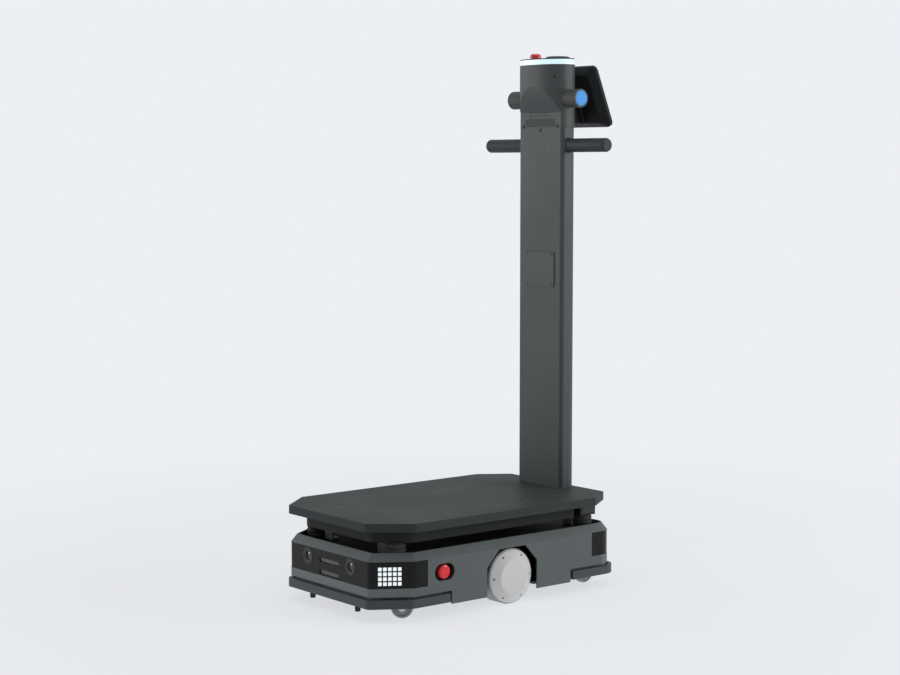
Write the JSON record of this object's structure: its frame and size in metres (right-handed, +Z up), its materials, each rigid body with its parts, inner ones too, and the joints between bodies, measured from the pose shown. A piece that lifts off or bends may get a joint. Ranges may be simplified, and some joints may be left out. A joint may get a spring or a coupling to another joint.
{
  "type": "autonomous mobile robot",
  "caption": "Low wheeled delivery robot base with a load deck on rubber mounts, corner casters, sprung drive wheels, bumpers, and a rear mast with handles, lamps and a tablet.",
  "frame": {"origin": "on the floor, under the middle of the overall footprint", "axes": "+X is the way it drives, +Y its left, +Z up"},
  "size_m": [0.7926, 0.445, 1.2815],
  "materials": {
    "body_paint": "satin dark grey powder coat",
    "deck_paint": "fine-grained satin dark grey coat",
    "mast_paint": "satin dark grey coat on an extrusion",
    "inner_steel": "matt black coat",
    "bright_steel": "zinc-plated",
    "band_gloss": "dark tinted gloss",
    "black_plastic": "fine spark-eroded texture",
    "case_plastic": "fine texture",
    "black_rubber": "matt",
    "tyre_rubber": "grey polyurethane tread",
    "cover_metal": "light grey satin",
    "motor_metal": "cast, turned faces",
    "caster_rubber": "grey polyurethane",
    "stop_red": "moulded red",
    "lamp_white": "translucent white, lit",
    "lamp_blue": "translucent blue, lit",
    "screen_glass": "dark cover glass"
  },
  "bodies": {
    "chassis": {"chassis_pan": "inner_steel", "frame_brackets": "inner_steel", "battery_pack": "case_plastic", "drive_electronics": "motor_metal", "front_skirt": "body_paint", "rear_skirt": "body_paint", "front_sensor_band": "band_gloss", "rear_sensor_band": "band_gloss", "led_matrices": "lamp_white", "front_cameras": "black_plastic", "slot_sensors": "case_plastic", "top_cover": "body_paint", "top_tray": "inner_steel", "stop_cups": "black_plastic", "caster_plates": "bright_steel", "deck_plate": "deck_paint", "deck_subframe": "inner_steel", "deck_mounts": "black_rubber", "deck_legs": "body_paint", "mast_foot": "inner_steel", "mast_column": "mast_paint", "mast_hatch": "mast_paint", "head_shell": "mast_paint", "speaker_panel": "mast_paint", "light_ring": "lamp_white", "head_cap": "black_plastic", "antenna_disc": "black_plastic", "signal_lamps": "black_plastic", "signal_lenses": "lamp_blue", "handle_tube": "mast_paint", "handle_caps": "black_plastic", "handle_collars": "black_rubber", "tablet_shell": "case_plastic", "tablet_glass": "screen_glass", "tablet_bracket": "inner_steel", "left_side_panel": "body_paint", "right_side_panel": "body_paint", "left_drive_spring": "bright_steel", "right_drive_spring": "bright_steel"},
    "left_arm": {"left_drive_arm": "inner_steel"},
    "left_wheel": {"left_drive_tyre": "tyre_rubber", "left_drive_hub": "motor_metal", "left_wheel_cover": "cover_metal"},
    "left_stop": {"left_stop_button": "stop_red"},
    "right_arm": {"right_drive_arm": "inner_steel"},
    "right_wheel": {"right_drive_tyre": "tyre_rubber", "right_drive_hub": "motor_metal", "right_wheel_cover": "cover_metal"},
    "right_stop": {"right_stop_button": "stop_red"},
    "top_stop": {"top_stop_button": "stop_red"},
    "front_bumper_strip": {"front_bumper": "body_paint"},
    "rear_bumper_strip": {"rear_bumper": "body_paint"},
    "front_left_fork": {"front_left_caster_fork": "bright_steel"},
    "front_left_wheel": {"front_left_caster_wheel": "caster_rubber"},
    "front_right_fork": {"front_right_caster_fork": "bright_steel"},
    "front_right_wheel": {"front_right_caster_wheel": "caster_rubber"},
    "rear_left_fork": {"rear_left_caster_fork": "bright_steel"},
    "rear_left_wheel": {"rear_left_caster_wheel": "caster_rubber"},
    "rear_right_fork": {"rear_right_caster_fork": "bright_steel"},
    "rear_right_wheel": {"rear_right_caster_wheel": "caster_rubber"}
  },
  "joints": [
    {"name": "left_suspension", "type": "hinge", "parent": "chassis", "child": "left_arm", "pos_m": [0.11435, 0.147, 0.065], "axis": [0, 1, 0], "range_deg": [-4, 4], "stiffness_Nm_per_rad": 30, "springref_deg": -14.32, "deforming": ["left_drive_spring"]},
    {"name": "left_drive", "type": "hinge", "parent": "left_arm", "child": "left_wheel", "pos_m": [0.01935, 0.181, 0.065], "axis": [0, 1, 0], "continuous": true},
    {"name": "left_stop_press", "type": "slide", "parent": "chassis", "child": "left_stop", "axis": [0, -1, 0], "range_m": [0, 0.004], "stiffness_N_per_m": 2500, "springref_m": -0.002},
    {"name": "right_suspension", "type": "hinge", "parent": "chassis", "child": "right_arm", "pos_m": [0.11435, -0.147, 0.065], "axis": [0, 1, 0], "range_deg": [-4, 4], "stiffness_Nm_per_rad": 30, "springref_deg": -14.32, "deforming": ["right_drive_spring"]},
    {"name": "right_drive", "type": "hinge", "parent": "right_arm", "child": "right_wheel", "pos_m": [0.01935, -0.181, 0.065], "axis": [0, 1, 0], "continuous": true},
    {"name": "right_stop_press", "type": "slide", "parent": "chassis", "child": "right_stop", "axis": [0, 1, 0], "range_m": [0, 0.004], "stiffness_N_per_m": 2500, "springref_m": -0.002},
    {"name": "top_stop_press", "type": "slide", "parent": "chassis", "child": "top_stop", "axis": [0, 0, -1], "range_m": [0, 0.004], "stiffness_N_per_m": 2500, "springref_m": -0.002},
    {"name": "front_bumper_press", "type": "slide", "parent": "chassis", "child": "front_bumper_strip", "axis": [-1, 0, 0], "range_m": [0, 0.005], "stiffness_N_per_m": 4000, "springref_m": -0.002},
    {"name": "rear_bumper_press", "type": "slide", "parent": "chassis", "child": "rear_bumper_strip", "axis": [1, 0, 0], "range_m": [0, 0.005], "stiffness_N_per_m": 4000, "springref_m": -0.002},
    {"name": "front_left_swivel", "type": "hinge", "parent": "chassis", "child": "front_left_fork", "pos_m": [0.31235, 0.144, 0.053], "axis": [0, 0, 1], "continuous": true},
    {"name": "front_left_roll", "type": "hinge", "parent": "front_left_fork", "child": "front_left_wheel", "pos_m": [0.29826, 0.15521, 0.025], "axis": [-0.6225, -0.7826, 0], "continuous": true},
    {"name": "front_right_swivel", "type": "hinge", "parent": "chassis", "child": "front_right_fork", "pos_m": [0.31235, -0.144, 0.053], "axis": [0, 0, 1], "continuous": true},
    {"name": "front_right_roll", "type": "hinge", "parent": "front_right_fork", "child": "front_right_wheel", "pos_m": [0.29826, -0.13279, 0.025], "axis": [-0.6225, -0.7826, 0], "continuous": true},
    {"name": "rear_left_swivel", "type": "hinge", "parent": "chassis", "child": "rear_left_fork", "pos_m": [-0.25065, 0.138, 0.053], "axis": [0, 0, 1], "continuous": true},
    {"name": "rear_left_roll", "type": "hinge", "parent": "rear_left_fork", "child": "rear_left_wheel", "pos_m": [-0.26865, 0.138, 0.025], "axis": [0, -1, 0], "continuous": true},
    {"name": "rear_right_swivel", "type": "hinge", "parent": "chassis", "child": "rear_right_fork", "pos_m": [-0.25065, -0.138, 0.053], "axis": [0, 0, 1], "continuous": true},
    {"name": "rear_right_roll", "type": "hinge", "parent": "rear_right_fork", "child": "rear_right_wheel", "pos_m": [-0.26865, -0.138, 0.025], "axis": [0, -1, 0], "continuous": true}
  ]
}
